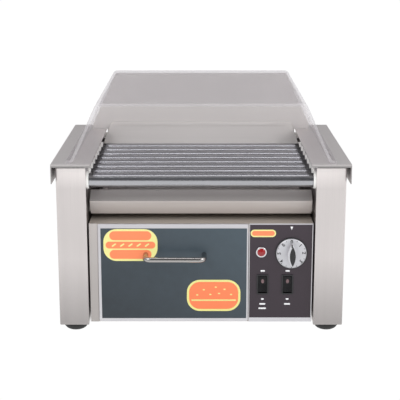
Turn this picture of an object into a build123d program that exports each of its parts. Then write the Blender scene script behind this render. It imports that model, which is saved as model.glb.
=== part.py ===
from build123d import *
import math
import os

# Hot dog roller grill, in millimetres. X is across, Y runs from front to back, Z is up.
# While a piece is modelled, Y = 0 is the front face of the side housings.
# save() shifts every node by FRONT, so that the whole grill is centred on the origin.

# Overall
BODY_DEPTH = 405.0
HANDLE_STAND = 34.0
BUSHING_STAND = 8.0
FRONT = (HANDLE_STAND - BUSHING_STAND - BODY_DEPTH) / 2
SHEET = 1.5
THIN = 1.2
GAP = 0.3

# Side housings, ledges and feet
FOOT_HEIGHT = 14.0
FOOT_RADIUS = 23.0
FOOT_X = 232.0
FOOT_Y = (26.0, BODY_DEPTH - 26.0)
WALL_X = 206.0
HOUSING_X = 259.5
HOUSING_TOP = 308.0
LEDGE_TOP = 318.0
LEDGE_X = (195.0, 266.0)
LEDGE_Y = (-17.0, 393.0)
LEDGE_LIP = 35.0
LEDGE_NOSE = 5.0

# Rollers
ROLLERS = 8
ROLLER_RADIUS = 12.7
ROLLER_BORE = 11.5
ROLLER_FIRST = (22.0, 282.0)
ROLLER_LAST = (323.0, 278.5)
ROLLER_X = (-236.0, 219.0)
RUNNING = 0.05
SEAL_RADIUS = 15.5
SEAL_WIDTH = 4.0
BEARING_RADIUS = 14.0
HEATER_RADIUS = 4.0
HEATER_X = 249.0

# Chain drive, in the left housing
CHAIN_PITCH = 6.35
CHAIN_X = -232.0
CHAIN_HALF_HEIGHT = 2.6
PLATE_X = (1.7, 2.7)
PIN_RADIUS = 1.5
TOOTH_WIDTH = 2.8
TOOTH_RISE = 1.4
ROLLER_TEETH = 16
MOTOR_TEETH = 12
MOTOR_AXIS = (172.5, 200.0)
MOTOR_SHAFT = 4.0

# Cabinet, a little narrower than the space between the bearing plates
CABINET_X = 203.0
CABINET_Z = (17.0, 204.2)
CABINET_FRONT = 10.0
PANEL_FRONT = 8.5
BAY_X = (-185.5, 86.8)
PANEL_X = 87.5
STRIP_X = -188.5
OVERLAY = 0.5

# Drawer
DRAWER_X = (-187.2, 86.0)
DRAWER_Z = (19.0, 204.0)
DRAWER_FRONT = 5.0
DRAWER_PAN = 4.7
SLIDE_DEPTH = 13.5
BOX_X = (BAY_X[0] + SLIDE_DEPTH, BAY_X[1] - SLIDE_DEPTH)
BOX_Z = (30.0, 190.0)
BOX_BACK = 380.0
RAIL_Z = 110.0
RAIL_Y = (18.0, 378.0)
FIXED_HALF = 22.0
MIDDLE_HALF = 20.0
MOVING_HALF = 12.0
HANDLE_CENTRE = (-47.5, 147.0)
HANDLE_SPAN = 106.0
HANDLE_RADIUS = 4.75

# Controls on the front panel, as (X, Z)
KNOB = (164.0, 149.0)
KNOB_RADIUS = 27.5
PILOT = (109.5, 151.0)
SWITCHES = ((112.5, 89.4), (158.0, 89.4))
SWITCH_SIZE = (21.0, 37.0)
ROCKER_TILT = 10.0
ROCKER_PIVOT_Y = 12.0

# Drip tray
TRAY_FRONT_X = 201.3
TRAY_X = 188.0
TRAY_TOP = (44.0, 259.0)
TRAY_NOSE = (18.0, 243.6)
TRAY_FLOOR = 215.0
TRAY_BACK = 350.0
TRAY_RIM = 240.0

# Guard: an arch that rises from front to rear
GUARD_Y = (-6.0, 348.0)
GUARD_TOP = (425.0, 439.0)
GUARD_SIDE_X = 231.0
GUARD_FOOT_X = 239.5
GUARD_LEAN = 0.455
GUARD_SHEET = 5.0
GUARD_REAR_SHEET = 3.0
FOOT_BEND = 7.0
TOP_BEND = 6.0

# Rear
BACK_PLATE_Y = (341.0, 342.5)
BACK_PLATE_OUTLINE = ((205.7, 262.0), (205.7, 279.0), (185.5, 333.0))
BACK_PLATE_CORNER = 10.0
HEM_HEIGHT = 7.0
HEM_SHEET = 1.1
LIP_X = LEDGE_X[0] - 1.0
LIP_TOP = LEDGE_TOP + 4.0
LIP_CLEARANCE = 2.0
PANEL_TOP = 300.0
VENT_SIZE = (20.0, 4.0)
VENT_PITCH = (30.0, 12.0)
VENT_LOW = 225.0
BUSHING = (230.0, 60.0)
CORD_RADIUS = 4.5

# Screws: one size of pan head, for the feet, the rear panel, the rear cover and the handle
SCREW_RADIUS = 2.0
HEAD_RADIUS = 4.0
HEAD_HEIGHT = 2.4
REAR_SCREWS = [(side * 195.0, z) for side in (-1, 1) for z in (40.0, 110.0, 180.0)]
COVER_SCREWS = [(-150.0, 293.0), (0.0, 293.0), (150.0, 293.0)]


# Small tools

def block(x, y, z):
    """A box between (low, high) pairs in X, Y and Z."""
    sizes = [pair[1] - pair[0] for pair in (x, y, z)]
    centre = [(pair[1] + pair[0]) / 2 for pair in (x, y, z)]
    return Pos(*centre) * Box(*sizes)


def rod_x(x, y, z, radius):
    """A round bar along X."""
    return Pos(sum(x) / 2, y, z) * Rot(0, 90, 0) * Cylinder(radius, x[1] - x[0])


def rod_y(x, y, z, radius):
    """A round bar along Y."""
    return Pos(x, sum(y) / 2, z) * Rot(90, 0, 0) * Cylinder(radius, y[1] - y[0])


def rod_z(x, y, z, radius):
    """A round bar along Z."""
    return Pos(x, y, sum(z) / 2) * Cylinder(radius, z[1] - z[0])


def tube_x(x, y, z, outer, inner):
    """A round tube along X."""
    return rod_x(x, y, z, outer) - rod_x(x, y, z, inner)


def swept_x(sketch, x):
    """A flat shape drawn in (Y, Z) and run from one X to another."""
    return Pos(x[0], 0, 0) * extrude(Plane.YZ * sketch, amount=x[1] - x[0], dir=(1, 0, 0))


def swept_y(sketch, y):
    """A flat shape drawn in (X, Z) and run from one Y to another."""
    return Pos(0, y[0], 0) * extrude(Plane.XZ * sketch, amount=y[1] - y[0], dir=(0, 1, 0))


def polygon(*points):
    return make_face(Polyline(*points, close=True))


def inner_line(points, thickness):
    """The line that runs beside another one, at a sheet's thickness to its left."""
    lefts = []
    for start, end in zip(points, points[1:]):
        length = math.dist(start, end)
        lefts.append(((start[1] - end[1]) / length, (end[0] - start[0]) / length))
    inner = []
    for index, point in enumerate(points):
        before = lefts[max(index - 1, 0)]
        after = lefts[min(index, len(lefts) - 1)]
        share = thickness / (1 + before[0] * after[0] + before[1] * after[1])
        inner.append((point[0] + share * (before[0] + after[0]), point[1] + share * (before[1] + after[1])))
    return inner


def bent_sheet(points, thickness):
    """A folded strip whose outer face runs through the points and whose metal lies to their left."""
    return polygon(*points, *reversed(inner_line(points, thickness)))


def rounded_line(points, radii):
    """The edges of a line through the points, each corner rounded with its own radius."""
    points = [Vector(*point) for point in points]
    edges = []
    start = points[0]
    for before, corner, after, radius in zip(points, points[1:], points[2:], radii):
        back = (before - corner).normalized()
        ahead = (after - corner).normalized()
        half = math.radians(back.get_angle(ahead)) / 2
        reach = radius / math.tan(half)
        middle = corner + (back + ahead).normalized() * (radius / math.sin(half) - radius)
        edges.append(Line(start, corner + back * reach))
        edges.append(ThreePointArc(corner + back * reach, middle, corner + ahead * reach))
        start = corner + ahead * reach
    edges.append(Line(start, points[-1]))
    return edges


def mirrored(piece):
    """A right-hand piece's left-hand twin."""
    return mirror(piece, about=Plane.YZ)


def roller_axis(index):
    """Where a roller's axis crosses the (Y, Z) plane. Roller 0 is the front one."""
    share = index / (ROLLERS - 1)
    return tuple(low + share * (high - low) for low, high in zip(ROLLER_FIRST, ROLLER_LAST))


def save(name, *pieces):
    solids = [solid for piece in pieces for solid in piece.solids()]
    shape = solids[0] if len(solids) == 1 else Compound(solids)
    export_step(Pos(0, FRONT, 0) * shape, f"parts/{name}.step")


# Side housings, ledges and feet

def side_housing():
    """The right-hand casing: front, outer and bottom walls, folded from one sheet."""
    shell = block((WALL_X, HOUSING_X), (0, BODY_DEPTH), (FOOT_HEIGHT, HOUSING_TOP))
    outer_edges = shell.edges().filter_by(Axis.Z).group_by(Axis.X)[-1]
    shell = fillet(outer_edges.sort_by(Axis.Y)[0], 3.0)
    shell -= block(
        (WALL_X - SHEET, HOUSING_X - SHEET),
        (SHEET, BODY_DEPTH + SHEET),
        (FOOT_HEIGHT + SHEET, HOUSING_TOP + SHEET),
    )
    flange_z = (HOUSING_TOP - SHEET, HOUSING_TOP)
    shell += block((HOUSING_X - 12, HOUSING_X - SHEET), (SHEET, BODY_DEPTH - SHEET), flange_z)
    shell += block((WALL_X + SHEET, HOUSING_X - SHEET), (BODY_DEPTH - 25, BODY_DEPTH - SHEET), flange_z)
    for y in FOOT_Y:
        shell -= rod_z(FOOT_X, y, (FOOT_HEIGHT - 1, FOOT_HEIGHT + 3), SCREW_RADIUS)
    return shell


def housing_back():
    """The flat plate that closes the right housing's rear."""
    y = (BODY_DEPTH - SHEET, BODY_DEPTH)
    return block((WALL_X, HOUSING_X - SHEET), y, (FOOT_HEIGHT + SHEET, HOUSING_TOP))


def ledge_cap():
    """A flat shelf over the right housing, with a short nose, a long outer lip and an inner flange."""
    nose = (LEDGE_Y[0], LEDGE_Y[0] + SHEET)
    cap = block(LEDGE_X, LEDGE_Y, (LEDGE_TOP - SHEET, LEDGE_TOP))
    flange_x = (WALL_X + SHEET, WALL_X + 2 * SHEET)
    cap += block(flange_x, (SHEET, 378), (HOUSING_TOP + 1, LEDGE_TOP - SHEET))
    cap += block(LEDGE_X, nose, (LEDGE_TOP - LEDGE_NOSE, LEDGE_TOP))
    cap += block((LEDGE_X[1] - SHEET, LEDGE_X[1]), LEDGE_Y, (LEDGE_TOP - LEDGE_LIP, LEDGE_TOP))
    return cap


def bearing_plate():
    """The right-hand inner wall, bored for the roller bearings."""
    y = (SHEET, BODY_DEPTH - SHEET)
    plate = block((WALL_X, WALL_X + SHEET), y, (FOOT_HEIGHT + SHEET, LEDGE_TOP - SHEET))
    for index in range(ROLLERS):
        plate -= rod_x((WALL_X - 1, WALL_X + 3), *roller_axis(index), BEARING_RADIUS)
    return plate


def foot(y):
    """A soft foot that narrows to a flat tread, with a recess for its screw's head."""
    tread, recess, depth = 14.0, 6.5, 6.0
    inside = [(SCREW_RADIUS, FOOT_HEIGHT), (SCREW_RADIUS, depth), (recess, depth), (recess, 0)]
    outline = Polyline((recess, 0), (tread, 0)) + ThreePointArc((tread, 0), (20, 4.2), (FOOT_RADIUS, 10))
    outline += Polyline((FOOT_RADIUS, 10), (FOOT_RADIUS, FOOT_HEIGHT), *inside)
    profile = make_face(outline)
    return Pos(FOOT_X, y, 0) * revolve(Plane.XZ * profile, Axis.Z)


# Screws

def screw(length):
    """A screw whose head sits on top of the XY plane and whose shank runs down from it."""
    head = fillet(Cylinder(HEAD_RADIUS, HEAD_HEIGHT).edges().group_by(Axis.Z)[-1], 1.0)
    head = Pos(0, 0, HEAD_HEIGHT / 2) * head
    slot = Pos(0, 0, HEAD_HEIGHT) * (Box(4.6, 1.0, 1.6) + Box(1.0, 4.6, 1.6))
    return head + Pos(0, 0, -length / 2) * Cylinder(SCREW_RADIUS, length) - slot


def case_screws():
    screws = []
    for x in (-FOOT_X, FOOT_X):
        for y in FOOT_Y:
            screws.append(Pos(x, y, 6) * Rot(180, 0, 0) * screw(16))
    for x, z in REAR_SCREWS + COVER_SCREWS:
        screws.append(Pos(x, BODY_DEPTH, z) * Rot(-90, 0, 0) * screw(8))
    return screws


# Rear

def rear_panel():
    panel = block((-WALL_X, WALL_X), (BODY_DEPTH - SHEET, BODY_DEPTH), (FOOT_HEIGHT + SHEET, PANEL_TOP))
    for x, z in REAR_SCREWS + COVER_SCREWS:
        panel -= rod_y(x, (BODY_DEPTH - 5, BODY_DEPTH + 5), z, SCREW_RADIUS)
    for row in range(4):
        for column in range(9):
            centre = Pos((column - 4) * VENT_PITCH[0], BODY_DEPTH, VENT_LOW + row * VENT_PITCH[1])
            panel -= centre * Rot(90, 0, 0) * extrude(SlotOverall(*VENT_SIZE), amount=10, both=True)
    return panel


def back_plate():
    """The tapered plate behind the rollers, the level cover behind it and the lip that the guard meets."""
    outline = list(BACK_PLATE_OUTLINE)
    outline += [(-x, z) for x, z in reversed(BACK_PLATE_OUTLINE)]
    face = polygon(*outline)
    face = fillet(face.vertices().group_by(Axis.Y)[-1], BACK_PLATE_CORNER)
    plate = swept_y(face, BACK_PLATE_Y)
    top_x, top = BACK_PLATE_OUTLINE[-1]
    hem_x = top_x - BACK_PLATE_CORNER
    plate += block((-hem_x, hem_x), (BACK_PLATE_Y[0] - HEM_SHEET, BACK_PLATE_Y[0]), (top - HEM_HEIGHT, top))
    cover_x = WALL_X - 1
    cover_back = BODY_DEPTH - SHEET
    cover = block((-cover_x, cover_x), (BACK_PLATE_Y[1], cover_back), (PANEL_TOP - SHEET, PANEL_TOP))
    cover += block((-cover_x, cover_x), (cover_back - SHEET, cover_back), (PANEL_TOP - 14, PANEL_TOP - SHEET))
    lip_front = GUARD_Y[1] + LIP_CLEARANCE
    cover += block((-LIP_X, LIP_X), (lip_front, lip_front + SHEET), (PANEL_TOP - SHEET, LIP_TOP))
    plate += cover
    for x, z in COVER_SCREWS:
        plate -= rod_y(x, (cover_back - 5, cover_back + 5), z, SCREW_RADIUS)
    return plate


def cord_bushing():
    """A strain relief in the right housing's back plate. The cord itself isn't part of the grill."""
    x, z = BUSHING
    flange = rod_y(x, (BODY_DEPTH, BODY_DEPTH + BUSHING_STAND), z, 13.0)
    flange = chamfer(flange.edges().group_by(Axis.Y)[-1], 3.0)
    barrel = rod_y(x, (BODY_DEPTH - 7, BODY_DEPTH), z, 8.0)
    return flange + barrel - rod_y(x, (BODY_DEPTH - 10, BODY_DEPTH + 10), z, CORD_RADIUS)


# Rollers, their bearings and heaters

def sprocket(teeth, x, y, z, bore, hub_side):
    """A toothed ring with its hub beside the chain: hub_side is the way along X that the hub lies."""
    pitch_radius = CHAIN_PITCH / (2 * math.sin(math.pi / teeth))
    seats = PolarLocations(pitch_radius, teeth) * Circle(PIN_RADIUS + 0.25)
    ring = Circle(pitch_radius + TOOTH_RISE) - seats
    wheel = swept_x(Pos(y, z) * ring, (x - TOOTH_WIDTH / 2, x + TOOTH_WIDTH / 2))
    neck_radius = pitch_radius - CHAIN_HALF_HEIGHT - 0.4
    near = x + hub_side * TOOTH_WIDTH / 2
    middle = x + hub_side * (PLATE_X[1] + 0.6)
    far = middle + hub_side * 5.5
    wheel += rod_x(sorted((near, middle)), y, z, neck_radius)
    wheel += rod_x(sorted((middle, far)), y, z, max(pitch_radius, bore + 3.0))
    return wheel - rod_x((x - 20, x + 20), y, z, bore)


def roller(index):
    return tube_x(ROLLER_X, *roller_axis(index), ROLLER_RADIUS, ROLLER_BORE)


def roller_sprocket(index):
    """The sprocket pressed on a roller's left end."""
    return sprocket(ROLLER_TEETH, CHAIN_X, *roller_axis(index), ROLLER_RADIUS, 1)


def roller_seal(index):
    return tube_x((WALL_X - SEAL_WIDTH, WALL_X), *roller_axis(index), SEAL_RADIUS, ROLLER_RADIUS + 0.5)


def roller_bearing(index):
    """A flanged bush that fills the wall's bore. The tube turns in it."""
    y, z = roller_axis(index)
    bush = rod_x((WALL_X, WALL_X + 5), y, z, BEARING_RADIUS)
    bush += rod_x((WALL_X + SHEET, WALL_X + 2 * SHEET), y, z, BEARING_RADIUS + 3)
    return bush - rod_x((WALL_X - 1, WALL_X + 6), y, z, ROLLER_RADIUS + RUNNING)


def roller_heater(index):
    return rod_x((-HEATER_X, HEATER_X), *roller_axis(index), HEATER_RADIUS)


def heater_retainer():
    """A sloping strip in the right housing that holds the heaters' ends, with a foot on the outer wall."""
    first = roller_axis(-0.3)
    last = roller_axis(ROLLERS - 0.7)
    half = 9.0
    low = [(y, z - half) for y, z in (first, last)]
    web = polygon(*low, *[(y, z + half) for y, z in (last, first)])
    foot_face = polygon(*low, *[(y, z + SHEET) for y, z in reversed(low)])
    inner = HEATER_X - 4
    strip = swept_x(web, (inner, inner + SHEET)) + swept_x(foot_face, (inner, HOUSING_X - SHEET))
    for index in range(ROLLERS):
        strip -= rod_x((inner - 1, inner + 3), *roller_axis(index), HEATER_RADIUS)
    return strip


# Chain drive

def belt_line(grow):
    """The closed line round the first, last and motor sprockets, moved out by grow."""
    circles = []
    wheels = ((ROLLER_FIRST, ROLLER_TEETH), (ROLLER_LAST, ROLLER_TEETH), (MOTOR_AXIS, MOTOR_TEETH))
    for centre, teeth in wheels:
        pitch_radius = CHAIN_PITCH / (2 * math.sin(math.pi / teeth))
        circles += (Pos(*centre) * Circle(pitch_radius + grow)).edges()
    return make_hull(circles)


def pins_between(start, end, offset):
    """Chain pins at every pitch along a straight run, held in by offset at both ends."""
    length = math.dist(start, end)
    count = int((length - 2 * offset) / CHAIN_PITCH)
    first = (length - count * CHAIN_PITCH) / 2
    pins = []
    for index in range(count + 1):
        share = (first + index * CHAIN_PITCH) / length
        y, z = (low + share * (high - low) for low, high in zip(start, end))
        pins.append(rod_x((CHAIN_X - PLATE_X[1], CHAIN_X + PLATE_X[1]), y, z, PIN_RADIUS))
    return pins


def drive_chain():
    """Two link-plate bands round the sprockets, joined by pins on the runs that no tooth reaches."""
    band = belt_line(CHAIN_HALF_HEIGHT) - belt_line(-CHAIN_HALF_HEIGHT)
    chain = swept_x(band, (CHAIN_X - PLATE_X[1], CHAIN_X - PLATE_X[0]))
    chain += swept_x(band, (CHAIN_X + PLATE_X[0], CHAIN_X + PLATE_X[1]))
    pitch_radius = CHAIN_PITCH / (2 * math.sin(math.pi / ROLLER_TEETH))
    slope = math.atan2(ROLLER_LAST[1] - ROLLER_FIRST[1], ROLLER_LAST[0] - ROLLER_FIRST[0])
    rise = (-pitch_radius * math.sin(slope), pitch_radius * math.cos(slope))
    for index in range(ROLLERS - 1):
        ends = [roller_axis(index + step) for step in (0, 1)]
        start, end = ((y + rise[0], z + rise[1]) for y, z in ends)
        for pin in pins_between(start, end, 14.0):
            chain += pin
    return chain


def drive_motor():
    """A gearbox on the left bearing plate, with the motor's laminated stack and its coil under it."""
    y, z = MOTOR_AXIS
    left = -WALL_X - SHEET
    gearbox = block((left - 19.5, left), (y - 30, y + 30), (z - 30, z + 32))
    gearbox = fillet(gearbox.edges().filter_by(Axis.X), 8.0)
    stack = block((left - 36, left - 8), (y - 26, y + 26), (z - 88, z - 28))
    coil = block((left - 42, left - 2), (y - 15, y + 15), (z - 80, z - 62))
    return gearbox + stack + coil - rod_x((left - 30, left - 6), y, z, MOTOR_SHAFT + RUNNING)


def motor_shaft():
    left = -WALL_X - SHEET
    return rod_x((CHAIN_X - 10, left - 7), *MOTOR_AXIS, MOTOR_SHAFT)


# Cabinet

def cabinet_shell():
    """A square tube, open at the front, with rear flanges and a spacer rib to each bearing plate."""
    outer = block((-CABINET_X, CABINET_X), (CABINET_FRONT, BODY_DEPTH - SHEET), CABINET_Z)
    inner_x = CABINET_X - THIN
    inner_z = (CABINET_Z[0] + THIN, CABINET_Z[1] - THIN)
    shell = outer - block((-inner_x, inner_x), (0, BODY_DEPTH), inner_z)
    back = (BODY_DEPTH - SHEET - THIN, BODY_DEPTH - SHEET)
    for side in (-1, 1):
        shell += block(sorted((side * inner_x, side * (inner_x - 14))), back, inner_z)
        shell += block(sorted((side * CABINET_X, side * WALL_X)), (60, 380), (150, 170))
    for x, z in REAR_SCREWS:
        shell -= rod_y(x, (BODY_DEPTH - 10, BODY_DEPTH), z, SCREW_RADIUS)
    return shell


def drawer_bay_sides():
    """The left frame strip with the bay's left wall, and the partition beside the controls."""
    inner_x = CABINET_X - THIN
    inner_z = (CABINET_Z[0] + THIN, CABINET_Z[1] - THIN)
    strip = block((-CABINET_X, STRIP_X), (PANEL_FRONT, CABINET_FRONT), CABINET_Z)
    strip += block((-inner_x, BAY_X[0]), (CABINET_FRONT, CABINET_FRONT + SHEET), inner_z)
    left = block((BAY_X[0] - SHEET, BAY_X[0]), (CABINET_FRONT, 398), inner_z)
    right = block((BAY_X[1], BAY_X[1] + SHEET), (CABINET_FRONT, 398), inner_z)
    return strip + left, right


def control_panel():
    """The steel plate behind the controls."""
    panel = block((PANEL_X, CABINET_X), (PANEL_FRONT, CABINET_FRONT), CABINET_Z)
    return panel - panel_holes()


def control_overlay():
    """The printed sheet on the control panel, a little smaller than the plate."""
    x = (PANEL_X + 1, CABINET_X - 1.5)
    z = (CABINET_Z[0] + 8, CABINET_Z[1] - 2.2)
    overlay = block(x, (PANEL_FRONT - OVERLAY, PANEL_FRONT), z)
    return overlay - panel_holes()


def panel_holes():
    y = (0, 20)
    holes = rod_y(KNOB[0], y, KNOB[1], 5.0) + rod_y(PILOT[0], y, PILOT[1], 6.0)
    for x, z in SWITCHES:
        holes += block(*switch_box(x, z, y))
    return holes


def switch_box(x, z, y):
    """The box that a switch's barrel fills."""
    width = SWITCH_SIZE[0] / 2 - 0.7
    height = SWITCH_SIZE[1] / 2 - 1.0
    return (x - width, x + width), y, (z - height, z + height)


def drawer_heater():
    """A flat plate heater on the cabinet floor, with its sheath folded in three runs."""
    floor = CABINET_Z[0] + THIN
    plate = block((-150, 50), (60, 340), (floor, floor + 2))
    for x in (-110, -50, 10):
        plate += rod_y(x, (80, 320), floor + 4, 3.0)
    return plate


# Drawer and its slides

def drawer_front():
    """A shallow pan that laps over the bay's edges."""
    pan = block(DRAWER_X, (DRAWER_FRONT, DRAWER_FRONT + DRAWER_PAN), DRAWER_Z)
    pan = fillet(pan.edges().filter_by(Axis.Y), 3.0)
    pan = chamfer(pan.faces().sort_by(Axis.Y)[0].edges(), 0.6)
    inner = [(pair[0] + THIN, pair[1] - THIN) for pair in (DRAWER_X, DRAWER_Z)]
    pan -= block(inner[0], (DRAWER_FRONT + THIN, DRAWER_FRONT + 20), inner[1])
    return pan - handle_holes()


def handle_holes():
    return [rod_y(x, (0, 12), HANDLE_CENTRE[1], SCREW_RADIUS) for x in handle_legs()]


def handle_legs():
    return [HANDLE_CENTRE[0] + side * HANDLE_SPAN / 2 for side in (-1, 1)]


def drawer_label():
    """The printed sheet on the drawer front."""
    x = (DRAWER_X[0] + 5.2, DRAWER_X[1] - 3.0)
    z = (DRAWER_Z[0] + 6.0, DRAWER_Z[1] - 8.0)
    label = block(x, (DRAWER_FRONT - OVERLAY, DRAWER_FRONT), z)
    return label - handle_holes()


def drawer_handle():
    """A bent wire pull, with the two screws that hold it from inside the drawer."""
    left, right = handle_legs()
    z = HANDLE_CENTRE[1]
    face = DRAWER_FRONT - OVERLAY
    reach = HANDLE_RADIUS - HANDLE_STAND
    path = FilletPolyline((left, face, z), (left, reach, z), (right, reach, z), (right, face, z), radius=10.0)
    wire = sweep(Plane((left, face, z), z_dir=(0, -1, 0)) * Circle(HANDLE_RADIUS), path=path)
    pieces = []
    for x in (left, right):
        wire -= rod_y(x, (face - 9, face + 1), z, SCREW_RADIUS)
        inside = DRAWER_FRONT + 2 * THIN
        pieces.append(Pos(x, inside, z) * Rot(-90, 0, 0) * screw(inside - face + 9))
    return [wire, *pieces]


def drawer_box():
    """An open-topped box behind the drawer front."""
    y = (DRAWER_FRONT + THIN, BOX_BACK)
    box = block(BOX_X, y, BOX_Z)
    inner = ((BOX_X[0] + THIN, BOX_X[1] - THIN), (y[0] + THIN, y[1] - THIN), (BOX_Z[0] + THIN, BOX_Z[1] + 5))
    return box - block(*inner) - handle_holes()


def channel(back, mouth, half_height, thickness):
    """A slide member: a C section whose back is at one X and whose lips reach to another."""
    outer = block(sorted((back, mouth)), RAIL_Y, (RAIL_Z - half_height, RAIL_Z + half_height))
    sign = 1 if mouth > back else -1
    hollow = block(
        sorted((back + sign * thickness, mouth + sign)),
        RAIL_Y,
        (RAIL_Z - half_height + thickness, RAIL_Z + half_height - thickness),
    )
    return outer - hollow


def slide_members():
    """The fixed, middle and moving members of both slides, as three lists."""
    fixed, middle, moving = [], [], []
    for wall, side in ((BAY_X[0], 1), (BAY_X[1], -1)):
        fixed.append(channel(wall, wall + side * 9.0, FIXED_HALF, THIN))
        middle.append(channel(wall + side * 2.0, wall + side * 10.5, MIDDLE_HALF, THIN))
        bar_x = sorted((wall + side * 4.0, wall + side * SLIDE_DEPTH))
        bar = block(bar_x, RAIL_Y, (RAIL_Z - MOVING_HALF, RAIL_Z + MOVING_HALF))
        moving.append(bar)
    return fixed, middle, moving


# Controls

def heat_control():
    """The heat regulator's body and the threaded bush that holds it to the panel."""
    x, z = KNOB
    body = block((x - 22, x + 22), (CABINET_FRONT, 48), (z - 18, z + 18))
    body = fillet(body.edges().filter_by(Axis.Y), 3.0)
    bush = rod_y(x, (PANEL_FRONT - OVERLAY, CABINET_FRONT), z, 5.0)
    terminals = []
    for centre in (x - 12, x, x + 12):
        terminals.append(block((centre - 3, centre + 3), (48, 56), (z - 0.5, z + 0.5)))
    return body + bush + terminals - rod_y(x, (0, 31), z, 3.0 + RUNNING)


def control_shaft():
    return rod_y(KNOB[0], (-3, 30), KNOB[1], 3.0)


def knob_dial():
    """The flat skirt that carries the scale."""
    x, z = KNOB
    dial = rod_y(x, (2.0, 6.6), z, KNOB_RADIUS)
    dial = chamfer(dial.edges().group_by(Axis.Y)[0], 1.4)
    return dial - rod_y(x, (-2, 10), z, 3.0)


def knob_grip():
    """A raised bar with bowed flanks, standing on the dial."""
    x, z = KNOB
    half_length = 22.0
    half_width = 8.5
    sides = ThreePointArc((0, half_length), (half_width, 0), (0, -half_length))
    sides += ThreePointArc((0, -half_length), (-half_width, 0), (0, half_length))
    grip = Pos(x, 0, z) * swept_y(make_face(sides), (-12.0, 2.0))
    grip = chamfer(grip.edges().group_by(Axis.Y)[0], 0.8)
    return grip - rod_y(x, (-3, 10), z, 3.0)


def pilot_bezel():
    x, z = PILOT
    face = PANEL_FRONT - OVERLAY
    ring = rod_y(x, (face - 3, face), z, 10.0)
    ring = fillet(ring.edges().group_by(Axis.Y)[0], 1.2)
    ring += rod_y(x, (face, 26), z, 6.0)
    return ring - rod_y(x, (face - 4, face - 1), z, 7.5) - rod_y(x, (face - 4, 24), z, 4.0)


def pilot_lens():
    """A domed lens held in the bezel."""
    x, z = PILOT
    back = PANEL_FRONT - OVERLAY - 1
    dome_radius = 12.0
    rise = dome_radius - math.sqrt(dome_radius**2 - 7.5**2)
    dome = Pos(x, back - 2 - rise + dome_radius, z) * Sphere(dome_radius)
    return rod_y(x, (back - 2 - rise, back), z, 7.5) & dome


def switch_housing(x, z):
    """A moulded frame on the panel, with a cavity for the rocker and blind holes for its trunnions."""
    face = PANEL_FRONT - OVERLAY
    half_width, half_height = (size / 2 for size in SWITCH_SIZE)
    frame = block((x - half_width, x + half_width), (face - 2, face), (z - half_height, z + half_height))
    frame = fillet(frame.edges().filter_by(Axis.Y), 1.5)
    frame += block(*switch_box(x, z, (face, 36)))
    frame -= block((x - 8.3, x + 8.3), (0, 26), (z - 16.6, z + 16.6))
    for shift in (-5, 5):
        frame += block((x + shift - 0.4, x + shift + 0.4), (36, 44), (z - 3, z + 3))
    return frame - rod_x((x - 9.3, x + 9.3), ROCKER_PIVOT_Y, z, 1.5 + RUNNING)


def rocker(x, z):
    """A rocker with its upper half pressed in. It tips about its trunnions."""
    face = PANEL_FRONT - OVERLAY
    pivot = ROCKER_PIVOT_Y
    profile = polygon(
        (face - 3.2 - pivot, 15), (face - 1.2 - pivot, 0), (face - 3.2 - pivot, -15), (4, -11), (4, 11)
    )
    cap = fillet(swept_x(profile, (-7.9, 7.9)).edges().filter_by(Axis.X).group_by(Axis.Y)[0], 0.8)
    body = cap + rod_x((-9.1, 9.1), 0, 0, 1.5)
    return Pos(x, pivot, z) * Rot(-ROCKER_TILT, 0, 0) * body


def terminal_block():
    """A barrier strip on the right bearing plate, with its screw terminals."""
    x = WALL_X + SHEET
    face = x + 16
    pitch, low_y = 16.5, 303.0
    z = (60, 84)
    strip = block((x, face), (300, 372), z)
    for index in range(5):
        y = low_y + index * pitch
        strip += block((face, face + 6), (y - 1, y + 1), z)
    for index in range(4):
        y = low_y + (index + 0.5) * pitch
        strip += [rod_x((face, face + 3), y, screw_z, 3.0) for screw_z in (66, 78)]
    return strip


# Drip tray

def drip_tray():
    """A shallow tray whose folded front rises to the first roller."""
    front = bent_sheet([TRAY_TOP, TRAY_NOSE, (40, TRAY_FLOOR), (62, TRAY_FLOOR)], THIN)
    tray = swept_x(front, (-TRAY_FRONT_X, TRAY_FRONT_X))
    floor = bent_sheet([(60, TRAY_FLOOR), (TRAY_BACK, TRAY_FLOOR), (TRAY_BACK, TRAY_RIM)], THIN)
    tray += swept_x(floor, (-TRAY_X, TRAY_X))
    for side in (-1, 1):
        wall = sorted((side * TRAY_X, side * (TRAY_X - THIN)))
        tray += block(wall, (48, TRAY_BACK), (TRAY_FLOOR, TRAY_RIM))
    return tray


def tray_runner():
    """An angle on the right bearing plate. The tray's floor slides on it."""
    top = TRAY_FLOOR - GAP
    runner = block((182, WALL_X), (66, 390), (top - THIN, top))
    return runner + block((WALL_X - THIN, WALL_X), (66, 390), (top - THIN, TRAY_FLOOR + 12))


# Guard

def guard_top(y):
    """The arch's height at a Y."""
    share = (y - GUARD_Y[0]) / (GUARD_Y[1] - GUARD_Y[0])
    return GUARD_TOP[0] + share * (GUARD_TOP[1] - GUARD_TOP[0])


def guard_points(y):
    """The outer corners of the arch's section at a Y, from its right foot over to its left foot."""
    foot_top = LEDGE_TOP + GUARD_SHEET
    top = guard_top(y)
    top_x = GUARD_SIDE_X - GUARD_LEAN * (top - foot_top)
    right = [(GUARD_FOOT_X, foot_top), (GUARD_SIDE_X, foot_top), (top_x, top)]
    return right + [(-x, z) for x, z in reversed(right)]


def guard_section(y):
    """The arch's section at a Y: one bent sheet with its feet turned out along the ledges."""
    outer = guard_points(y)
    inner = inner_line(outer, GUARD_SHEET)
    edges = rounded_line(outer, (FOOT_BEND, TOP_BEND + GUARD_SHEET, TOP_BEND + GUARD_SHEET, FOOT_BEND))
    edges += rounded_line(inner, (FOOT_BEND + GUARD_SHEET, TOP_BEND, TOP_BEND, FOOT_BEND + GUARD_SHEET))
    edges += [Line(outer[0], inner[0]), Line(outer[-1], inner[-1])]
    return make_face(edges)


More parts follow.
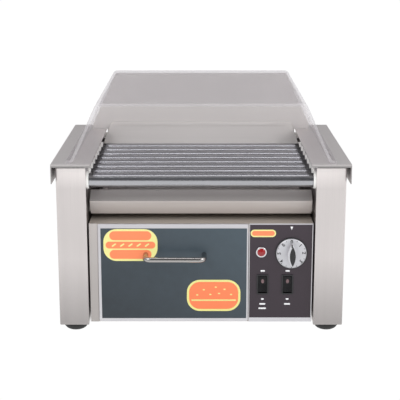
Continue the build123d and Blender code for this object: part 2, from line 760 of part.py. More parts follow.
def guard_panel():
    """One acrylic sheet bent to an arch."""
    return loft([Plane.XZ.offset(-y) * guard_section(y) for y in GUARD_Y], ruled=True)


def guard_rear_panel():
    """A flat sheet bonded inside the arch's rear end."""
    front = GUARD_Y[1] - GUARD_REAR_SHEET
    corner, top = inner_line(guard_points(front), GUARD_SHEET)[1:3]
    low = LEDGE_TOP + 2 * GUARD_SHEET
    low_x = corner[0] + (top[0] - corner[0]) * (low - corner[1]) / (top[1] - corner[1])
    right = [(low_x, LEDGE_TOP), (low_x, low), top]
    face = polygon(*right, *[(-x, z) for x, z in reversed(right)])
    face = fillet(face.vertices().group_by(Axis.Y)[-1], TOP_BEND)
    return swept_y(face, (front, GUARD_Y[1]))


# Everything

def build():
    os.makedirs("parts", exist_ok=True)
    indices = range(ROLLERS)
    right_feet = [foot(y) for y in FOOT_Y]
    save("rubber_feet", *right_feet, *map(mirrored, right_feet))
    save("case_screws", *case_screws())
    housing = side_housing()
    bushing_hole = rod_y(BUSHING[0], (BODY_DEPTH - 5, BODY_DEPTH + 5), BUSHING[1], 8.0)
    save("left_housing", mirrored(housing))
    save("right_housing", housing)
    save("housing_backs", housing_back() - bushing_hole, mirrored(housing_back()))
    save("bearing_plates", bearing_plate(), mirrored(bearing_plate()))
    save("ledge_caps", ledge_cap(), mirrored(ledge_cap()))
    save("rear_panel", rear_panel())
    save("back_plate", back_plate())
    save("cord_bushing", cord_bushing())

    seals = [roller_seal(index) for index in indices]
    save("roller_seals", *seals, *map(mirrored, seals))
    bearings = [roller_bearing(index) for index in indices]
    save("roller_bearings", *bearings, *map(mirrored, bearings))
    save("roller_heaters", *[roller_heater(index) for index in indices])
    save("heater_retainers", heater_retainer(), mirrored(heater_retainer()))
    for index in indices:
        save(f"roller_{index + 1}", roller(index))
        save(f"sprocket_{index + 1}", roller_sprocket(index))

    save("drive_chain", drive_chain())
    save("drive_motor", drive_motor())
    save("motor_shaft", motor_shaft())
    save("motor_sprocket", sprocket(MOTOR_TEETH, CHAIN_X, *MOTOR_AXIS, MOTOR_SHAFT, -1))

    save("cabinet_shell", cabinet_shell())
    save("drawer_bay_sides", *drawer_bay_sides())
    save("control_panel", control_panel())
    save("control_overlay", control_overlay())
    save("drawer_heater", drawer_heater())

    save("drawer_front", drawer_front())
    save("drawer_label", drawer_label())
    save("drawer_handle", *drawer_handle())
    save("drawer_box", drawer_box())
    for name, members in zip(("slides_fixed", "slides_middle", "slides_moving"), slide_members()):
        save(name, *members)

    save("heat_control", heat_control())
    save("control_shaft", control_shaft())
    save("knob_dial", knob_dial())
    save("knob_grip", knob_grip())
    save("pilot_bezel", pilot_bezel())
    save("pilot_lens", pilot_lens())
    save("switch_housings", *[switch_housing(x, z) for x, z in SWITCHES])
    for name, centre in zip(("left_rocker", "right_rocker"), SWITCHES):
        save(name, rocker(*centre))
    save("terminal_block", terminal_block())

    save("drip_tray", drip_tray())
    save("tray_runners", tray_runner(), mirrored(tray_runner()))
    save("guard_panel", guard_panel())
    save("guard_rear_panel", guard_rear_panel())


build()
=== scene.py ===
import math

import bmesh
import bpy
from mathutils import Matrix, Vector


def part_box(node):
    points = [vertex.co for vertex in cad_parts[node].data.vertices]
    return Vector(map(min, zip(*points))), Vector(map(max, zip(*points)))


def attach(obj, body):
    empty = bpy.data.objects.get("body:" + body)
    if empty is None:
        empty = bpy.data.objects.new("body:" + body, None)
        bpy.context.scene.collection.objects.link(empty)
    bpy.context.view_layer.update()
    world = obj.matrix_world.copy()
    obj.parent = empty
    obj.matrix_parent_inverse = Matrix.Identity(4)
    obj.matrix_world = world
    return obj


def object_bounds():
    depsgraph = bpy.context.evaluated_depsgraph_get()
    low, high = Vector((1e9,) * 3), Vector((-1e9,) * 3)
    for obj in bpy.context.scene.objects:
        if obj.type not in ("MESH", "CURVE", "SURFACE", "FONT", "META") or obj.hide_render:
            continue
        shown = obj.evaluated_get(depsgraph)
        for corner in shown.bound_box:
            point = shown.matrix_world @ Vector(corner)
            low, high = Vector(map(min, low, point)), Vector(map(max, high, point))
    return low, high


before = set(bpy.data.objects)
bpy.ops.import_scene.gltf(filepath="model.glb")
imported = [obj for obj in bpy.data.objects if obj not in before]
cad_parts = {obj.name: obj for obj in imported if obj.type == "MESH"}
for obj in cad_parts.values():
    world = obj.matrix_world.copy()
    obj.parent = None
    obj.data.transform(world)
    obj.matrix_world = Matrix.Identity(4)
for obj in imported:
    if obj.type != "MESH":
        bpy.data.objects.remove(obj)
CAD_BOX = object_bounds()

# The camera stands in front of the grill and looks slightly down on it
CAMERA_AWAY = 1.921
CAMERA_HEIGHT = 0.722
CAMERA_SIDE = -0.002
CAMERA_DOWN = 13.8
CAMERA_LENS = 99.5

# The studio's darkest direction, seen from the grill
DARK_WALL = (0.0, -0.94, 0.34)

# The handle reaches this far in front of the side housings
HANDLE_STAND = 0.034

MM = 0.001
STEEL = (0.60, 0.57, 0.56)

# Folds sharper than this many degrees are drawn crisp
SPLIT_ANGLE = 30


# Node graphs

class Graph:
    """One material's node tree, started with its Principled shader."""

    def __init__(self, name):
        self.material = bpy.data.materials.new(name)
        self.material.use_nodes = True
        self.tree = self.material.node_tree
        self.shader = self.tree.nodes["Principled BSDF"]

    def node(self, kind, inputs=None, **settings):
        made = self.tree.nodes.new(kind)
        for key, value in settings.items():
            setattr(made, key, value)
        for key, value in (inputs or {}).items():
            self.feed(made.inputs[key], value)
        return made

    def feed(self, socket, value):
        """Links a node's or socket's output to an input, or sets a plain value on it."""
        if isinstance(value, bpy.types.Node):
            value = value.outputs[0]
        if isinstance(value, bpy.types.NodeSocket):
            self.tree.links.new(value, socket)
        elif isinstance(value, tuple) and len(value) == 3 and socket.type == "RGBA":
            socket.default_value = (*value, 1.0)
        else:
            socket.default_value = value

    def set(self, **inputs):
        """Feeds the Principled shader: Base_Color stands for its Base Color input."""
        for key, value in inputs.items():
            self.feed(self.shader.inputs[key.replace("_", " ")], value)

    def place(self, scale=(1, 1, 1)):
        """Object coordinates in metres, stretched by scale."""
        coordinates = self.node("ShaderNodeTexCoord").outputs["Object"]
        return self.node("ShaderNodeMapping", {"Vector": coordinates, "Scale": scale})

    def noise(self, scale, detail=3.0, stretch=(1, 1, 1), roughness=0.5):
        inputs = {"Vector": self.place(stretch), "Scale": scale, "Detail": detail, "Roughness": roughness}
        return self.node("ShaderNodeTexNoise", inputs).outputs["Fac"]

    def span(self, value, low, high, start=0.0, end=1.0):
        """Maps value from start..end to low..high."""
        inputs = {0: value, 1: start, 2: end, 3: low, 4: high}
        return self.node("ShaderNodeMapRange", inputs).outputs[0]

    def math(self, operation, first, second=0.0):
        return self.node("ShaderNodeMath", {0: first, 1: second}, operation=operation).outputs[0]

    def blend(self, share, first, second):
        """A colour between two colours."""
        made = self.node("ShaderNodeMix", data_type="RGBA")
        self.feed(made.inputs["Factor"], share)
        self.feed(made.inputs["A"], first)
        self.feed(made.inputs["B"], second)
        return made.outputs["Result"]

    def scaled(self, colour, share):
        """A colour times a value."""
        made = self.node("ShaderNodeVectorMath", {0: colour, "Scale": share}, operation="SCALE")
        return made.outputs["Vector"]

    def by_height(self, stops):
        """A share that changes with height: stops are (Z in metres, share) pairs, lowest first."""
        level = self.node("ShaderNodeSeparateXYZ", {0: self.place()}).outputs["Z"]
        share = stops[0][1]
        for (low, before), (high, after) in zip(stops, stops[1:]):
            share = self.math("ADD", share, self.span(level, 0.0, after - before, low, high))
        return share

    def bump(self, height, strength, distance=0.0005):
        inputs = {"Height": height, "Strength": strength, "Distance": distance}
        self.set(Normal=self.node("ShaderNodeBump", inputs).outputs["Normal"])


# Materials

def brushed(name, colour, grain, roughness=0.3, streak=0.06, shade=((0.0, 1.0),), metallic=1.0):
    """Brushed sheet. grain is the axis the brushing runs along; shade holds by_height stops of painted light
    and shade.
    """
    graph = Graph(name)
    fine = tuple(12.0 if axis == grain else 900.0 for axis in "xyz")
    broad = tuple(1.2 if axis == grain else 70.0 for axis in "xyz")
    fine_grain = graph.noise(1.0, 4.0, fine, 0.65)
    broad_grain = graph.noise(1.0, 2.0, broad)
    cloud = graph.noise(9.0, 2.0)
    fine_part = graph.math("MULTIPLY", fine_grain, 0.6)
    mixed = graph.math("ADD", fine_part, graph.math("MULTIPLY", broad_grain, 0.4))
    dark = tuple(channel * (1 - 2 * streak) for channel in colour)
    light = tuple(min(channel * (1 + streak), 1.0) for channel in colour)
    tone = graph.blend(graph.span(mixed, 0.0, 1.0, 0.3, 0.7), dark, light)
    stain = tuple(channel * 0.86 for channel in colour)
    stained = graph.blend(graph.span(cloud, 0.0, 0.12, 0.45, 0.75), tone, stain)
    graph.set(Base_Color=graph.scaled(stained, graph.by_height(shade)), Metallic=metallic)
    rough = graph.math("ADD", graph.span(fine_grain, roughness - 0.07, roughness + 0.09, 0.3, 0.7),
                       graph.span(cloud, -0.03, 0.05, 0.3, 0.7))
    graph.set(Roughness=rough)
    graph.bump(fine_grain, 0.12, 0.0002)
    return graph.material


def drawn_tube(name, colour, roughness):
    """Bright plated tube: smooth round its girth, with long soft draw marks along X."""
    graph = Graph(name)
    marks = graph.noise(1.0, 2.0, (3.0, 55.0, 55.0))
    film = graph.noise(14.0, 2.0)
    dull = tuple(channel * 0.90 for channel in colour)
    graph.set(Base_Color=graph.blend(graph.span(marks, 0.0, 1.0, 0.35, 0.65), colour, dull), Metallic=1.0)
    graph.set(Roughness=graph.span(film, roughness - 0.02, roughness + 0.03, 0.35, 0.65))
    return graph.material


def polished(name, colour, roughness, grain=None):
    """Polished metal, with faint turning or drawing marks."""
    graph = Graph(name)
    stretch = tuple(40.0 if axis == grain else 700.0 for axis in "xyz")
    marks = graph.noise(1.0, 3.0, stretch, 0.6)
    cloud = graph.noise(25.0, 3.0)
    dull = tuple(channel * 0.88 for channel in colour)
    graph.set(Base_Color=graph.blend(graph.span(cloud, 0.0, 0.6, 0.4, 0.7), colour, dull))
    graph.set(Metallic=1.0)
    graph.set(Roughness=graph.math("ADD", graph.span(marks, roughness - 0.03, roughness + 0.05, 0.3, 0.7),
                                   graph.span(cloud, 0.0, 0.05, 0.4, 0.7)))
    graph.bump(marks, 0.05, 0.0001)
    return graph.material


def moulded(name, colour, roughness, texture=0.15, specular=0.5):
    """Moulded plastic or rubber with a fine pebbled texture."""
    graph = Graph(name)
    pebble = graph.noise(2600.0, 2.0)
    cloud = graph.noise(40.0, 3.0)
    lighter = tuple(channel * 1.25 + 0.004 for channel in colour)
    graph.set(Base_Color=graph.blend(graph.span(cloud, 0.0, 1.0, 0.35, 0.65), colour, lighter))
    graph.set(Roughness=graph.span(cloud, roughness - 0.05, roughness + 0.07, 0.35, 0.65))
    graph.set(Specular_IOR_Level=specular)
    graph.bump(pebble, texture, 0.0002)
    return graph.material


def painted(name, colour, roughness):
    graph = Graph(name)
    peel = graph.noise(420.0, 2.0)
    cloud = graph.noise(18.0, 3.0)
    lighter = tuple(channel * 1.3 + 0.01 for channel in colour)
    graph.set(Base_Color=graph.blend(graph.span(cloud, 0.0, 1.0, 0.35, 0.65), colour, lighter))
    graph.set(Roughness=graph.span(peel, roughness - 0.05, roughness + 0.08, 0.35, 0.65))
    graph.bump(peel, 0.08, 0.0003)
    return graph.material


def printed(name, low_colour, high_colour, direction, reach, roughness=0.34):
    """Printed film whose colour drifts from one to another along a direction, from reach[0] to reach[1]."""
    graph = Graph(name)
    coordinates = graph.node("ShaderNodeTexCoord").outputs["Object"]
    along = graph.node("ShaderNodeVectorMath", {0: coordinates, 1: direction}, operation="DOT_PRODUCT")
    drift = graph.span(along.outputs["Value"], 0.0, 1.0, reach[0], reach[1])
    mottle = graph.noise(60.0, 4.0)
    wobble = graph.math("ADD", drift, graph.span(mottle, -0.08, 0.08, 0.3, 0.7))
    graph.set(Base_Color=graph.blend(wobble, low_colour, high_colour))
    graph.set(Roughness=graph.span(mottle, roughness - 0.05, roughness + 0.06, 0.3, 0.7))
    graph.bump(graph.noise(1500.0, 2.0), 0.06, 0.0001)
    return graph.material


def acrylic(name, tint, haze_colour, haze, edge_haze):
    """Clear sheet: it lets light through with a tint, mirrors at a slant and is milky at its cut edges."""
    graph = Graph(name)
    scuffs = graph.noise(1.0, 4.0, (90.0, 30.0, 90.0), 0.7)
    roughness = graph.span(scuffs, 0.02, 0.09, 0.45, 0.75)
    through = graph.node("ShaderNodeBsdfTransparent", {"Color": tint})
    mirror = graph.node("ShaderNodeBsdfGlossy", {"Color": (1.0, 1.0, 1.0), "Roughness": roughness})
    slant = graph.node("ShaderNodeLayerWeight", {"Blend": 0.5}).outputs["Facing"]
    gloss = graph.math("ADD", graph.math("MULTIPLY", graph.math("POWER", slant, 4.0), 0.35), 0.03)
    glassy = graph.node("ShaderNodeMixShader", {0: gloss, 1: through, 2: mirror})
    lit = graph.node("ShaderNodeBsdfDiffuse", {"Color": haze_colour})
    glow = graph.node("ShaderNodeBsdfTranslucent", {"Color": haze_colour})
    milk = graph.node("ShaderNodeMixShader", {0: 0.5, 1: lit, 2: glow})
    normal = graph.node("ShaderNodeNewGeometry").outputs["Normal"]
    facing = graph.node("ShaderNodeVectorMath", {0: normal, 1: (0.0, 1.0, 0.0)}, operation="DOT_PRODUCT")
    cut = graph.math("GREATER_THAN", graph.math("ABSOLUTE", facing.outputs["Value"]), 0.9)
    share = graph.math("ADD", graph.math("MULTIPLY", cut, edge_haze - haze), haze)
    surface = graph.node("ShaderNodeMixShader", {0: share, 1: glassy, 2: milk})
    graph.tree.links.new(surface.outputs[0], graph.tree.nodes["Material Output"].inputs["Surface"])
    graph.tree.nodes.remove(graph.shader)
    return graph.material


def lamp_lens(name, deep, bright):
    """Glossy coloured plastic with a fine mottle."""
    graph = Graph(name)
    mottle = graph.noise(500.0, 2.0)
    graph.set(Base_Color=graph.blend(mottle, deep, bright), Roughness=0.16)
    graph.set(Coat_Weight=0.5, Coat_Roughness=0.05)
    graph.bump(mottle, 0.1, 0.0003)
    return graph.material


# How bright each sheet is drawn at each height, as (Z, share) stops: painted reflections and painted shade.
# The sheet itself has one finish:
# these stand in for what it would reflect in a real room, which the studio's lights don't give. The drip tray
# is drawn lighter below its fold, the columns lighter at the top and darker at the foot, the strips darker
# low down and the ledge noses darker.
TRAY_SHADE = ((0.2432, 1.75), (0.2442, 1.0))
COLUMN_SHADE = ((0.02, 0.60), (0.14, 1.0), (0.27, 1.02), (0.30, 1.35))
STRIP_SHADE = ((0.02, 0.74), (0.20, 1.0))
LEDGE_SHADE = ((0.3166, 0.55), (0.3174, 1.0))

# Which way a print's colour drifts, and from where to where along it in metres
UP = (0.0, 0.0, 1.0)
UP_AND_RIGHT = (0.6, 0.0, 1.0)
PRINT_REACH = (0.0, 0.2)
LABEL_REACH = (-0.06, 0.23)

# The steels are one stainless sheet, brushed different ways. Their base colours differ part by part as
# painted light and shade, set to how bright each part reads: the drip tray is drawn darker, the back plate
# and columns lighter.
MATERIALS = {
    "front_steel": brushed("front_steel", STEEL, "x"),
    "border_steel": brushed("border_steel", (0.72, 0.71, 0.74), "x", 0.36, 0.03),
    "column_steel": brushed("column_steel", (0.68, 0.64, 0.63), "z", 0.36, 0.03, COLUMN_SHADE, 0.8),
    "strip_steel": brushed("strip_steel", (0.66, 0.62, 0.60), "z", 0.36, 0.03, STRIP_SHADE),
    "tray_steel": brushed("tray_steel", (0.42, 0.395, 0.385), "x", 0.42, 0.02, TRAY_SHADE, 0.5),
    "cabinet_steel": brushed("cabinet_steel", (0.50, 0.45, 0.40), "x", 0.55, metallic=0.5),
    "back_steel": brushed("back_steel", (0.88, 0.85, 0.82), "x", 0.45, 0.02, metallic=0.45),
    "ledge_steel": brushed("ledge_steel", (0.72, 0.69, 0.685), "y", 0.36, 0.015, LEDGE_SHADE, 0.75),
    "plated": polished("plated", (0.62, 0.61, 0.58), 0.28),
    "roller_chrome": drawn_tube("roller_chrome", (0.46, 0.465, 0.49), 0.24),
    "bezel_chrome": polished("bezel_chrome", (0.75, 0.75, 0.77), 0.2),
    "handle_wire": drawn_tube("handle_wire", (0.46, 0.445, 0.435), 0.22),
    "chain_steel": polished("chain_steel", (0.30, 0.28, 0.26), 0.38),
    "heater_sheath": polished("heater_sheath", (0.35, 0.29, 0.25), 0.42, "x"),
    "knob_silver": brushed("knob_silver", (0.60, 0.60, 0.63), "x", 0.4, 0.03, metallic=0.6),
    "motor_paint": painted("motor_paint", (0.045, 0.045, 0.05), 0.45),
    "rubber": moulded("rubber", (0.018, 0.018, 0.018), 0.62, 0.3, 0.35),
    "white_plastic": moulded("white_plastic", (0.86, 0.86, 0.84), 0.38, 0.05),
    "black_plastic": moulded("black_plastic", (0.012, 0.012, 0.014), 0.36, 0.12),
    "rocker_black": moulded("rocker_black", (0.007, 0.007, 0.008), 0.5, 0.12, 0.2),
    "teal_print": printed("teal_print", (0.020, 0.028, 0.036), (0.050, 0.072, 0.090),
                          UP_AND_RIGHT, LABEL_REACH),
    "plum_print": printed("plum_print", (0.024, 0.015, 0.022), (0.034, 0.023, 0.032), UP, PRINT_REACH),
    "orange_print": printed("orange_print", (0.82, 0.19, 0.07), (0.87, 0.24, 0.10), UP, PRINT_REACH),
    "yellow_print": printed("yellow_print", (0.72, 0.68, 0.22), (0.78, 0.74, 0.29), UP, PRINT_REACH),
    "white_print": printed("white_print", (0.72, 0.72, 0.74), (0.80, 0.80, 0.82), UP, PRINT_REACH),
    "black_print": printed("black_print", (0.02, 0.02, 0.022), (0.03, 0.03, 0.034), UP, PRINT_REACH),
    # The rockers' lenses are drawn lighter than the rockers: a painted glint
    "rocker_lens_glint": lamp_lens("rocker_lens_glint", (0.06, 0.035, 0.04), (0.22, 0.12, 0.13)),
    "pilot_red": lamp_lens("pilot_red", (0.22, 0.004, 0.005), (0.34, 0.010, 0.012)),
    "clear_acrylic": acrylic("clear_acrylic", (0.94, 0.93, 0.94), (0.84, 0.83, 0.84), 0.05, 0.35),
    "hazy_acrylic": acrylic("hazy_acrylic", (0.82, 0.80, 0.79), (0.84, 0.82, 0.81), 0.8, 0.8),
}

NODE_MATERIALS = {
    "rubber_feet": "rubber",
    "case_screws": "plated",
    "left_housing": "column_steel",
    "right_housing": "column_steel",
    "housing_backs": "column_steel",
    "bearing_plates": "front_steel",
    "ledge_caps": "ledge_steel",
    "rear_panel": "front_steel",
    "back_plate": "back_steel",
    "cord_bushing": "black_plastic",
    "roller_seals": "white_plastic",
    "roller_bearings": "white_plastic",
    "roller_heaters": "heater_sheath",
    "heater_retainers": "plated",
    "drive_chain": "chain_steel",
    "drive_motor": "motor_paint",
    "motor_shaft": "plated",
    "motor_sprocket": "chain_steel",
    "cabinet_shell": "cabinet_steel",
    "drawer_bay_sides": "strip_steel",
    "control_panel": "border_steel",
    "control_overlay": "plum_print",
    "drawer_heater": "heater_sheath",
    "drawer_front": "border_steel",
    "drawer_label": "teal_print",
    "drawer_handle": "handle_wire",
    "drawer_box": "front_steel",
    "slides_fixed": "plated",
    "slides_middle": "plated",
    "slides_moving": "plated",
    "heat_control": "black_plastic",
    "control_shaft": "plated",
    "knob_dial": "knob_silver",
    "knob_grip": "knob_silver",
    "pilot_bezel": "bezel_chrome",
    "pilot_lens": "pilot_red",
    "switch_housings": "black_plastic",
    "left_rocker": "rocker_black",
    "right_rocker": "rocker_black",
    "terminal_block": "black_plastic",
    "drip_tray": "tray_steel",
    "tray_runners": "front_steel",
    "guard_panel": "clear_acrylic",
    "guard_rear_panel": "hazy_acrylic",
}
for number in range(1, 9):
    NODE_MATERIALS[f"roller_{number}"] = "roller_chrome"
    NODE_MATERIALS[f"sprocket_{number}"] = "chain_steel"


def dress_nodes():
    for node, finish in NODE_MATERIALS.items():
        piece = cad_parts[node]
        for slot in piece.material_slots:
            slot.material = MATERIALS[finish]
        split = piece.modifiers.new("crisp_folds", "EDGE_SPLIT")
        split.split_angle = math.radians(SPLIT_ANGLE)
        piece.modifiers.new("flat_faces", "WEIGHTED_NORMAL").weight = 100


# Printed and inlaid detail, each drawn as outlines in X and Z and given a little thickness

def oval(x, z, width, height, sides=40):
    turns = [2 * math.pi * step / sides for step in range(sides)]
    return [(x + width / 2 * math.sin(turn), z + height / 2 * math.cos(turn)) for turn in turns]


def rounded_bar(x, z, width, height, radius, steps=8):
    """A bar with rounded corners, centred on (x, z)."""
    points = []
    corners = ((1, 1), (1, -1), (-1, -1), (-1, 1))
    for quarter, (side, end) in enumerate(corners):
        for step in range(steps + 1):
            turn = math.pi / 2 * (quarter + step / steps)
            points.append((x + side * (width / 2 - radius) + radius * math.sin(turn),
                           z + end * (height / 2 - radius) + radius * math.cos(turn)))
    return points


def lens_shape(x, z, width, height, steps=24):
    """Two bowed sides that meet in a point at the top and bottom."""
    heights = [height / 2 * math.cos(math.pi * step / steps) for step in range(steps + 1)]
    right = [(x + width / 2 * (1 - (2 * level / height) ** 2), z + level) for level in heights]
    left = [(x - width / 2 * (1 - (2 * level / height) ** 2), z + level) for level in reversed(heights[1:-1])]
    return right + left


def turned(outline, x, z, degrees):
    """An outline turned clockwise about (x, z), as seen from the front."""
    cos, sin = math.cos(math.radians(degrees)), math.sin(math.radians(degrees))
    shifted = [(across - x, up - z) for across, up in outline]
    return [(x + across * cos + up * sin, z - across * sin + up * cos) for across, up in shifted]


def inlay(name, outlines, front, thickness, body, finish):
    """Flat islands whose front faces lie at Y = front. Only front is in metres, the rest in millimetres."""
    mesh = bpy.data.meshes.new(name)
    shape = bmesh.new()
    for outline in outlines:
        corners = [shape.verts.new((x * MM, front, z * MM)) for x, z in outline]
        face = shape.faces.new(corners)
        grown = bmesh.ops.extrude_face_region(shape, geom=[face])["geom"]
        moved = [item for item in grown if isinstance(item, bmesh.types.BMVert)]
        bmesh.ops.translate(shape, verts=moved, vec=(0, thickness * MM, 0))
    bmesh.ops.recalc_face_normals(shape, faces=shape.faces)
    shape.to_mesh(mesh)
    shape.free()
    piece = bpy.data.objects.new(name, mesh)
    mesh.materials.append(MATERIALS[finish])
    bpy.context.collection.objects.link(piece)
    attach(piece, body)
    return piece


def front_of(node):
    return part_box(node)[0][1]


def middle_of(node):
    """A node's centre as (X, Z) in millimetres."""
    low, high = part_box(node)
    return (low[0] + high[0]) / 2 / MM, (low[2] + high[2]) / 2 / MM


# How thick each printed layer is drawn, in millimetres
PRINT = 0.12

# Pictures on the drawer label and the panel: middles, sizes and corners, all in millimetres
HOT_DOG_AT = (-128.0, 165.0)
BUN_AT = (23.0, 69.0)
PICTURE_SIZE = (98.0, 60.0)
PICTURE_CORNER = 24.0
PICTURE_EDGE = 4.0
BUN_HALF = (76.0, 17.0)
BUN_HALF_RISE = 17.5
SAUSAGE_HEIGHT = 13.0
MUSTARD_PITCH = 15.0
MUSTARD_LENGTH = 9.0
MUSTARD_TURN = -35
LINE = 2.6
BUN_SLIT_DROP = 9.0
SEED_LENGTH = 4.2
SEEDS = ((-30.0, 1.0), (-18.0, 11.0), (-6.0, 2.0), (4.0, 16.0), (10.0, 4.0), (20.0, 12.0), (32.0, 2.0))
PANEL_BAR_AT = (112.7, 186.0)
PANEL_BAR_SIZE = (46.0, 14.0)
PANEL_BAR_EDGE = 2.5

# Plain dashes by each switch, as (height on the panel, width)
SWITCH_DASHES = ((115.0, 8.0), (61.0, 5.2), (51.5, 11.2))
LEFT_SWITCH_DASH = (43.0, 14.0)
DASH_HEIGHT = 3.0

# The index mark above the dial: a triangle that points down at it
INDEX_TOP = 198.7
INDEX_POINT = 192.5
INDEX_HALF_WIDTH = 2.5


def capsule(x, z, width, height):
    """A bar with fully rounded ends."""
    return rounded_bar(x, z, width, height, height / 2 - 0.1)


def add_label_pictures():
    """One hot dog and one seeded bun, as plain pictures on a pale backing."""
    front = front_of("drawer_label")
    width, height = PICTURE_SIZE
    inner = width - 2 * PICTURE_EDGE
    dog_x, dog_z = HOT_DOG_AT
    bun_x, bun_z = BUN_AT
    backings = [rounded_bar(x, z, width, height, PICTURE_CORNER) for x, z in (HOT_DOG_AT, BUN_AT)]
    fills = [capsule(dog_x, dog_z + side * BUN_HALF_RISE, *BUN_HALF) for side in (-1, 1)]
    fills.append(capsule(dog_x, dog_z, inner, SAUSAGE_HEIGHT))
    fills.append(rounded_bar(bun_x, bun_z, inner, height - 2 * PICTURE_EDGE, PICTURE_CORNER - PICTURE_EDGE))
    marks = []
    for step in (-2, -1, 0, 1, 2):
        x = dog_x + step * MUSTARD_PITCH
        marks.append(turned(capsule(x, dog_z, MUSTARD_LENGTH, LINE), x, dog_z, MUSTARD_TURN))
    marks.append(capsule(bun_x, bun_z - BUN_SLIT_DROP, inner - 2 * PICTURE_EDGE, LINE))
    marks += [oval(bun_x + across, bun_z + up, SEED_LENGTH, LINE, 16) for across, up in SEEDS]
    inlay("label_picture_edges", backings, front - PRINT * MM, PRINT, "drawer", "yellow_print")
    inlay("label_pictures", fills, front - 2 * PRINT * MM, PRINT, "drawer", "orange_print")
    inlay("label_picture_marks", marks, front - 3 * PRINT * MM, PRINT, "drawer", "yellow_print")


def add_panel_print():
    """The panel's plain two-colour bar, the dial's index mark and the dashes by the switches."""
    front = front_of("control_overlay")
    width, height = PANEL_BAR_SIZE
    inner = (width - 2 * PANEL_BAR_EDGE, height - 2 * PANEL_BAR_EDGE)
    inlay("panel_picture_edges", [capsule(*PANEL_BAR_AT, width, height)],
          front - PRINT * MM, PRINT, "root", "yellow_print")
    inlay("panel_pictures", [capsule(*PANEL_BAR_AT, *inner)],
          front - 2 * PRINT * MM, PRINT, "root", "orange_print")
    dial_x = middle_of("knob_dial")[0]
    white = [[(dial_x - INDEX_HALF_WIDTH, INDEX_TOP), (dial_x + INDEX_HALF_WIDTH, INDEX_TOP),
              (dial_x, INDEX_POINT)]]
    left_dashes = (*SWITCH_DASHES, LEFT_SWITCH_DASH)
    for node, dashes in (("left_rocker", left_dashes), ("right_rocker", SWITCH_DASHES)):
        x = middle_of(node)[0]
        white += [capsule(x, z, wide, DASH_HEIGHT) for z, wide in dashes]
    inlay("panel_legends", white, front - PRINT * MM, PRINT, "root", "white_print")


# Each rocker's lens, drawn lighter than the rocker as a painted glint: its size, its rise above the rocker's
# middle, how far it lies behind the rocker's lower edge, and how deep it goes
LENS_GLINT_SIZE = (5.4, 8.0)
LENS_GLINT_RISE = 5.0
LENS_GLINT_SET_BACK = 4.0
LENS_GLINT_DEPTH = 1.2

# The heat dial: where its numbers and ticks stand and how large they are. Turns are in degrees,
# clockwise from the top, and the numbers leave a gap at the foot of the dial.
NUMBER_TURNS = (0, 45, 85, 128, 232, 272, 318)
NUMBER_RADIUS = 22.3
NUMBER_SIZE = 9.0
NUMBER_WEIGHT = 0.22
NUMBER_DEPTH = 0.05
NUMBER_STAND = 0.08
TICK_COUNT = 16
TICK_RADIUS = 25.0
TICK_SIZE = (0.9, 2.4)
TICK_CORNER = 0.4

# The grip's dark face and pointer, as shifts from the dial's middle and sizes
FACE_SHIFT = (1.2, -1.5)
FACE_SIZE = (10.6, 37.0)
FACE_DEPTH = 0.5
POINTER_SHIFT = (-0.4, 18.5)
POINTER_SIZE = (2.4, 6.0)
POINTER_CORNER = 0.9
POINTER_DEPTH = 0.2
# A black ring behind the dial, a painted shadow round it: its width, its gap behind the dial and its depth
SHADOW_RING_WIDTH = 59.0
SHADOW_RING_GAP = 0.1
SHADOW_RING_DEPTH = 1.1


def add_rocker_windows():
    """A smoked lens let into each rocker's upper half, back from its lower edge, drawn lighter: a painted
    glint.
    """
    for body in ("left_rocker", "right_rocker"):
        x, z = middle_of(body)
        face = front_of(body) + LENS_GLINT_SET_BACK * MM
        inlay(f"{body}_lens_glint", [oval(x, z + LENS_GLINT_RISE, *LENS_GLINT_SIZE)], face, LENS_GLINT_DEPTH,
              body, "rocker_lens_glint")


def add_dial_number(number, degrees):
    x, z = middle_of("knob_dial")
    turn = math.radians(degrees)
    curve = bpy.data.curves.new(f"dial_number_{number}", "FONT")
    curve.body = str(number)
    curve.size = NUMBER_SIZE * MM
    curve.offset = NUMBER_WEIGHT * MM
    curve.align_x = "CENTER"
    curve.align_y = "CENTER"
    curve.extrude = NUMBER_DEPTH * MM
    curve.materials.append(MATERIALS["black_print"])
    digit = bpy.data.objects.new(f"dial_number_{number}", curve)
    digit.location = ((x + NUMBER_RADIUS * math.sin(turn)) * MM, front_of("knob_dial") - NUMBER_STAND * MM,
                      (z + NUMBER_RADIUS * math.cos(turn)) * MM)
    digit.rotation_euler = (math.pi / 2, turn, 0)
    bpy.context.collection.objects.link(digit)
    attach(digit, "heat_knob")


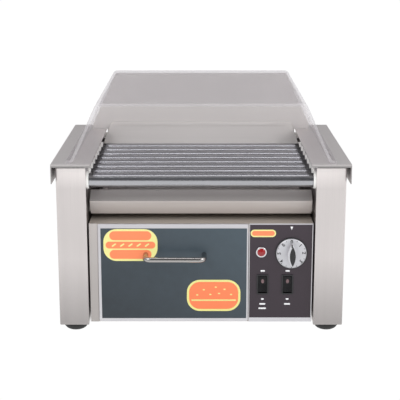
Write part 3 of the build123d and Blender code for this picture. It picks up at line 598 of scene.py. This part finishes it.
def add_knob_detail():
    """The dial's numbers and ticks, the grip's dark face and pointer, and a black ring behind the dial: a
    painted shadow.
    """
    x, z = middle_of("knob_dial")
    dial_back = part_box("knob_dial")[1][1]
    grip_front = front_of("knob_grip")
    for number, degrees in enumerate(NUMBER_TURNS):
        add_dial_number(number, degrees)
    tick = rounded_bar(x, z + TICK_RADIUS, *TICK_SIZE, TICK_CORNER)
    ticks = [turned(tick, x, z, 360 / TICK_COUNT * step) for step in range(TICK_COUNT)]
    inlay("dial_ticks", ticks, front_of("knob_dial") - PRINT * MM, PRINT,
          "heat_knob", "black_print")
    face = lens_shape(x + FACE_SHIFT[0], z + FACE_SHIFT[1], *FACE_SIZE)
    inlay("grip_face", [face], grip_front - FACE_DEPTH * MM, FACE_DEPTH,
          "heat_knob", "black_plastic")
    pointer = rounded_bar(x + POINTER_SHIFT[0], z + POINTER_SHIFT[1], *POINTER_SIZE, POINTER_CORNER)
    inlay("grip_pointer", [pointer], grip_front - POINTER_DEPTH * MM, POINTER_DEPTH,
          "heat_knob", "black_plastic")
    # Painted shadow: a black ring just behind the dial, where the dial's shade falls on the panel
    painted_shadow_ring = oval(x, z, SHADOW_RING_WIDTH, SHADOW_RING_WIDTH, 72)
    inlay("knob_painted_shadow_ring", [painted_shadow_ring], dial_back + SHADOW_RING_GAP * MM, SHADOW_RING_DEPTH,
          "heat_knob", "black_plastic")


# Stage: floor, lights, world and camera

FLOOR_HALF = 40.0
FLOOR_GLOW = 1.02

# The world's colour away from the dark wall and in it, with how squarely each is faced
OPEN_STUDIO = (0.62, (0.40, 0.395, 0.40, 1))
WALL_STUDIO = (0.88, (0.13, 0.13, 0.135, 1))


def add_floor():
    """A flat white floor that glows by itself, so that nothing casts a shadow on it."""
    graph = Graph("floor_paint")
    glow = graph.node("ShaderNodeEmission", {"Color": (1.0, 1.0, 1.0), "Strength": FLOOR_GLOW})
    graph.tree.links.new(glow.outputs[0], graph.tree.nodes["Material Output"].inputs["Surface"])
    graph.tree.nodes.remove(graph.shader)
    half = FLOOR_HALF
    corners = [(-half, -half, 0), (half, -half, 0), (half, half, 0), (-half, half, 0)]
    mesh = bpy.data.meshes.new("floor")
    mesh.from_pydata(corners, [], [(0, 1, 2, 3)])
    floor = bpy.data.objects.new("floor", mesh)
    floor.data.materials.append(graph.material)
    bpy.context.collection.objects.link(floor)


def add_light(name, place, target, size, power, reflected=True):
    """An area light. One that isn't reflected lights matt finishes only."""
    lamp = bpy.data.lights.new(name, "AREA")
    lamp.shape = "RECTANGLE"
    lamp.size, lamp.size_y = size
    lamp.energy = power
    made = bpy.data.objects.new(name, lamp)
    made.visible_glossy = reflected
    made.location = place
    made.rotation_euler = (Vector(target) - Vector(place)).to_track_quat("-Z", "Y").to_euler()
    bpy.context.collection.objects.link(made)


def add_world():
    """A grey studio with a darker wall in front of the grill, which the rollers' dark bands reflect."""
    world = bpy.data.worlds.new("studio")
    bpy.context.scene.world = world
    world.use_nodes = True
    tree = world.node_tree
    background = tree.nodes["Background"]
    direction = tree.nodes.new("ShaderNodeTexCoord").outputs["Generated"]
    towards = tree.nodes.new("ShaderNodeVectorMath")
    towards.operation = "DOT_PRODUCT"
    towards.inputs[1].default_value = DARK_WALL
    tree.links.new(direction, towards.inputs[0])
    ramp = tree.nodes.new("ShaderNodeValToRGB")
    tree.links.new(towards.outputs["Value"], ramp.inputs["Fac"])
    for stop, (position, colour) in zip(ramp.color_ramp.elements, (OPEN_STUDIO, WALL_STUDIO)):
        stop.position = position
        stop.color = colour
    tree.links.new(ramp.outputs["Color"], background.inputs["Color"])
    background.inputs["Strength"].default_value = 1.0


def add_stage():
    add_floor()
    add_world()
    add_light("front", (0, -3.0, 1.5), (0, 0, 0.2), (5.0, 2.6), 60, reflected=False)
    add_light("key", (-1.6, -1.4, 2.4), (0, 0, 0.2), (1.8, 1.8), 30)
    add_light("fill", (1.9, -1.2, 1.6), (0, 0, 0.2), (1.5, 1.5), 25)
    add_light("top", (0, -0.2, 2.8), (0, 0, 0.2), (2.2, 0.5), 8)


def add_camera():
    front = CAD_BOX[0][1] + HANDLE_STAND
    data = bpy.data.cameras.new("camera")
    data.lens = CAMERA_LENS
    data.sensor_width = 36.0
    camera = bpy.data.objects.new("camera", data)
    camera.location = (CAMERA_SIDE, front - CAMERA_AWAY, CAMERA_HEIGHT)
    camera.rotation_euler = (math.radians(90 - CAMERA_DOWN), 0, 0)
    bpy.context.collection.objects.link(camera)
    bpy.context.scene.camera = camera


bpy.context.scene.view_settings.view_transform = "Standard"
dress_nodes()
add_label_pictures()
add_panel_print()
add_rocker_windows()
add_knob_detail()
add_camera()
add_stage()
